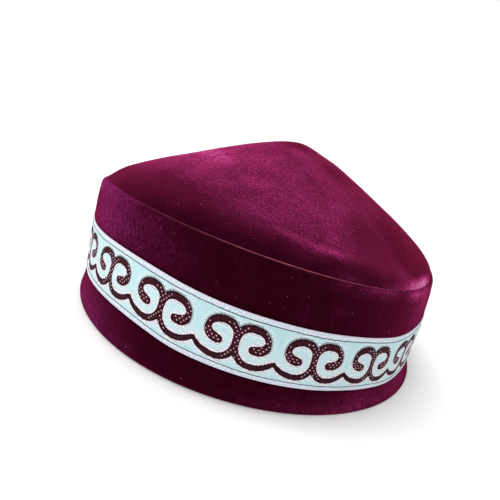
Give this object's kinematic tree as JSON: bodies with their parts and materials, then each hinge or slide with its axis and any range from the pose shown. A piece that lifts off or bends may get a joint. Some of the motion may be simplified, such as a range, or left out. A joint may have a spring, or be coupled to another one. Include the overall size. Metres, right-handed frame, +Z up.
{
  "type": "velvet kufi cap",
  "caption": "Soft oval kufi with a low upright side band, a pointed crown and a woven ribbon of scrolls sewn round the band.",
  "frame": {"origin": "centre of the cap's plan, at the rim's underside, on which the cap rests", "axes": "+Z up through the peak, -Y towards the front of the cap, with the long way of the head along Y, +X to the viewer's right as seen from the front"},
  "size_m": [0.1758, 0.2162, 0.0905],
  "materials": {
    "band_velvet": "cotton velvet, dark burgundy",
    "crown_velvet": "cotton velvet, burgundy",
    "ribbon_jacquard": "pale aqua satin ground with dark brown woven scrolls"
  },
  "bodies": {
    "root": {"side_band": "band_velvet", "crown": "crown_velvet", "ribbon": "ribbon_jacquard"}
  },
  "joints": []
}
